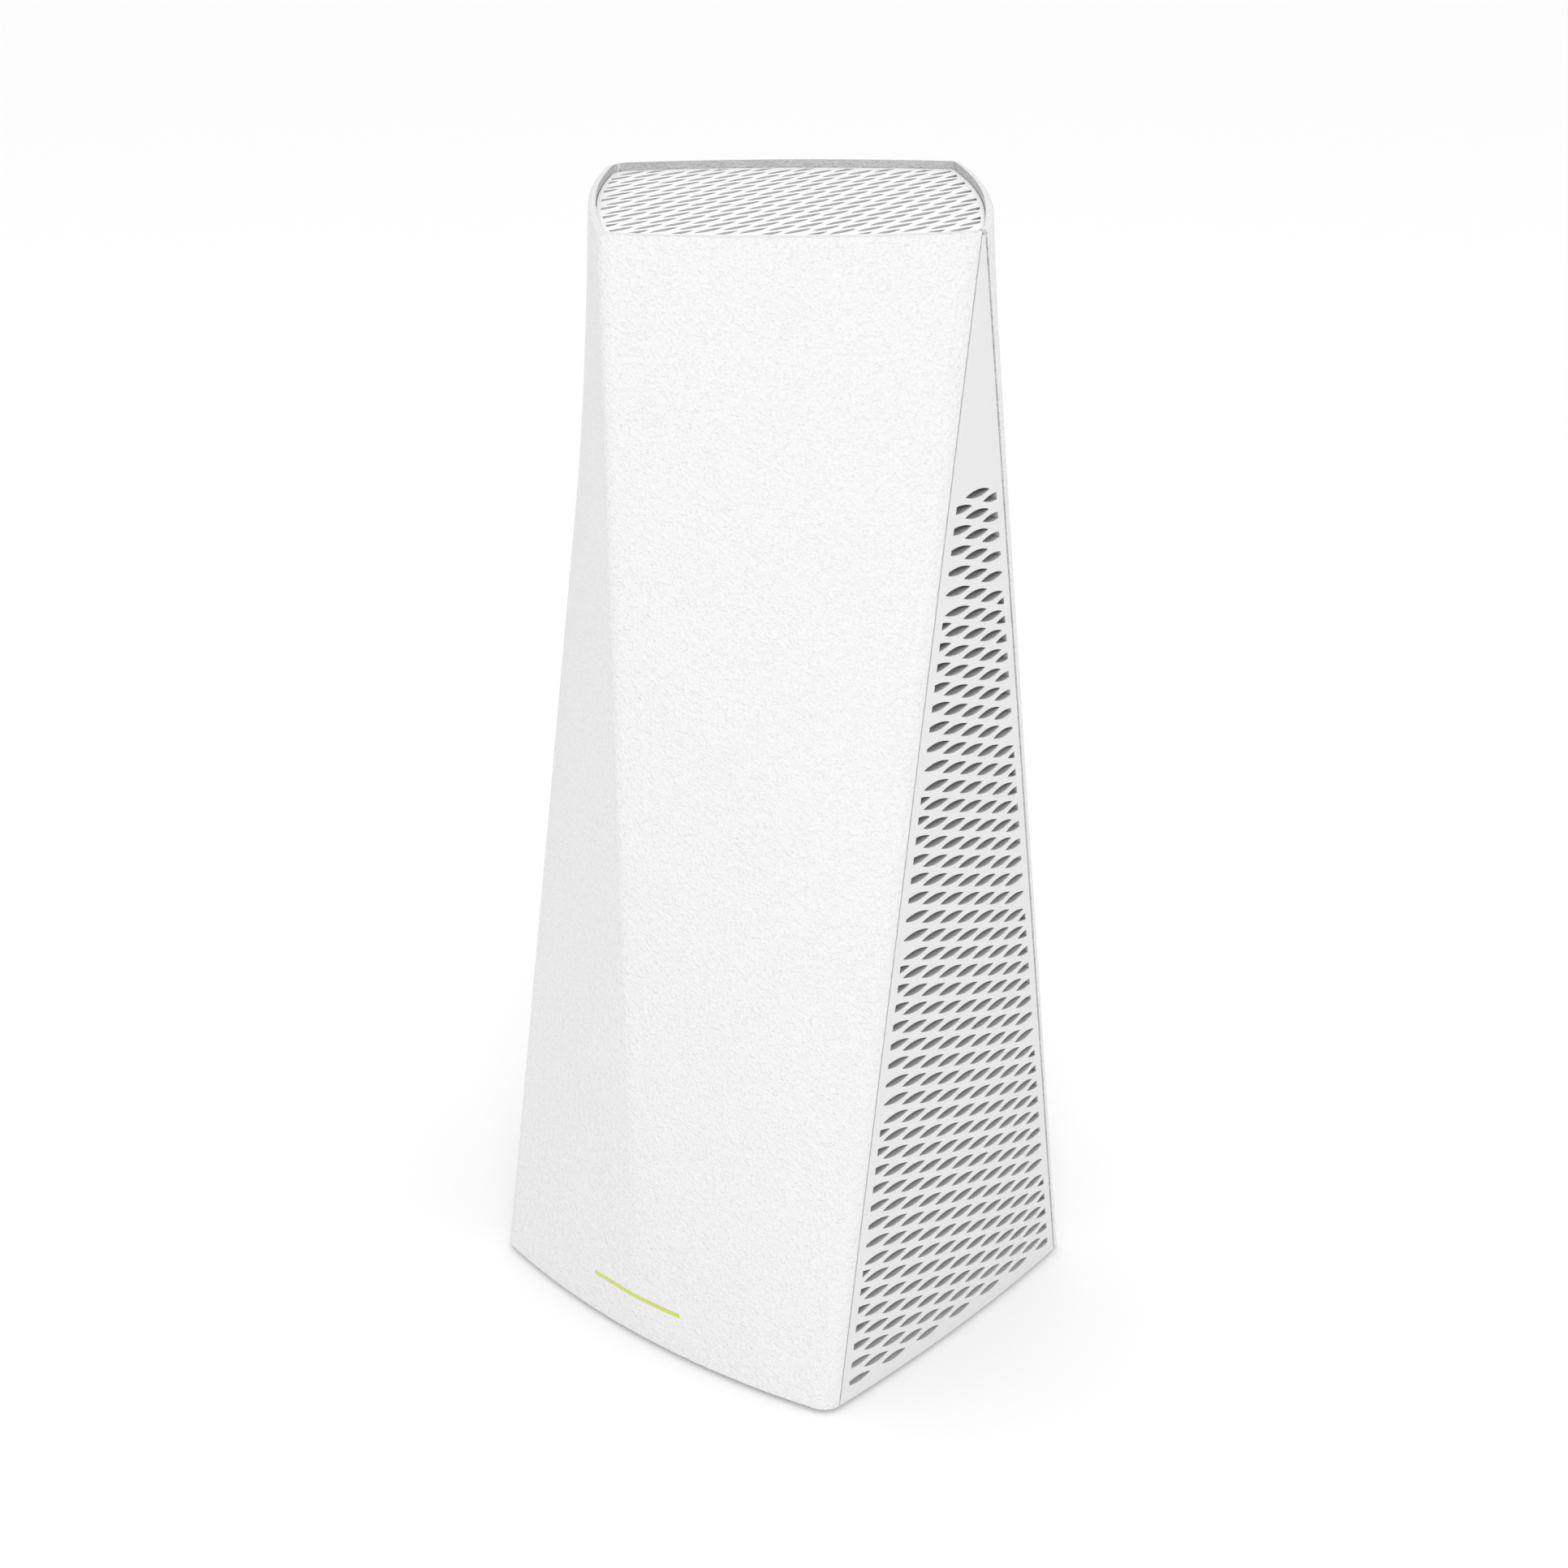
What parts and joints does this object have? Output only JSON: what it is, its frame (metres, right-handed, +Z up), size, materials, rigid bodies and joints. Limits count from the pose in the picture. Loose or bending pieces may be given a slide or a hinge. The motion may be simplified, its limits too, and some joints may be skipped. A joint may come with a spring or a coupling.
{
  "type": "wireless router",
  "caption": "White twisted tower router with triangular perforated side panels, a recessed top grille, a thin status light at the front foot and a socket bay at the back.",
  "frame": {"origin": "on the ground under the middle of the tower", "axes": "+Z up; the status light and front crease face -Y, the socket bay faces +Y, one perforated panel faces +X and the other -X"},
  "size_m": [0.1014, 0.0974, 0.246],
  "materials": {
    "white_shell": "fine leather grain, white",
    "white_grille": "satin, white",
    "white_trim": "satin, white",
    "grey_base": "fine texture, light grey",
    "light_lens": "translucent, lit green",
    "rubber_grey": "matt",
    "steel_screw": "zinc plated",
    "label_paper": "blank rating label",
    "frame_plastic": "moulded, dark grey",
    "circuit_board": "green solder mask",
    "antenna_board": "dark solder mask",
    "black_plastic": "moulded black",
    "chip_black": "moulded package",
    "sink_metal": "extruded",
    "pad_grey": "soft gap filler",
    "can_metal": "tin plated",
    "gold": "gold plated",
    "button_white": "satin",
    "lead_black": "coaxial lead",
    "led_amber": "clear package"
  },
  "bodies": {
    "housing": {"antenna_front": "antenna_board", "antenna_front_top": "antenna_board", "antenna_leads": "lead_black", "antenna_left": "antenna_board", "antenna_plugs": "gold", "antenna_rear": "antenna_board", "antenna_rear_top": "antenna_board", "antenna_right": "antenna_board", "base_plate": "grey_base", "base_screws": "steel_screw", "board_link": "black_plastic", "board_screws": "steel_screw", "capacitor": "black_plastic", "core_frame": "frame_plastic", "dc_jack": "black_plastic", "dc_pin": "can_metal", "front_shell": "white_shell", "heatsink": "sink_metal", "io_board": "circuit_board", "lan_contacts": "gold", "lan_jack_a": "black_plastic", "lan_jack_b": "black_plastic", "lan_transformers": "black_plastic", "led_board": "circuit_board", "led_chips": "led_amber", "light_bar": "light_lens", "main_board": "circuit_board", "memory_chips": "chip_black", "port_panel": "grey_base", "processor_chip": "chip_black", "radio_board": "circuit_board", "radio_chips": "chip_black", "rating_label": "label_paper", "rear_shell": "white_shell", "reset_switch": "black_plastic", "rubber_feet": "rubber_grey", "shield_lower": "can_metal", "shield_radio": "can_metal", "shield_upper": "can_metal", "side_grille_left": "white_grille", "side_grille_right": "white_grille", "sync_switch": "black_plastic", "thermal_pad": "pad_grey", "top_grille": "white_trim"},
    "sync_cap": {"sync_button": "button_white", "sync_plunger": "black_plastic"},
    "reset_cap": {"reset_button": "button_white", "reset_plunger": "black_plastic"}
  },
  "joints": [
    {"name": "sync_press", "type": "slide", "parent": "housing", "child": "sync_cap", "axis": [0, -1, 0], "range_m": [0, 0.0005], "stiffness_N_per_m": 400, "springref_m": -0.001},
    {"name": "reset_press", "type": "slide", "parent": "housing", "child": "reset_cap", "axis": [0, -1, 0], "range_m": [0, 0.0005], "stiffness_N_per_m": 400, "springref_m": -0.001}
  ]
}
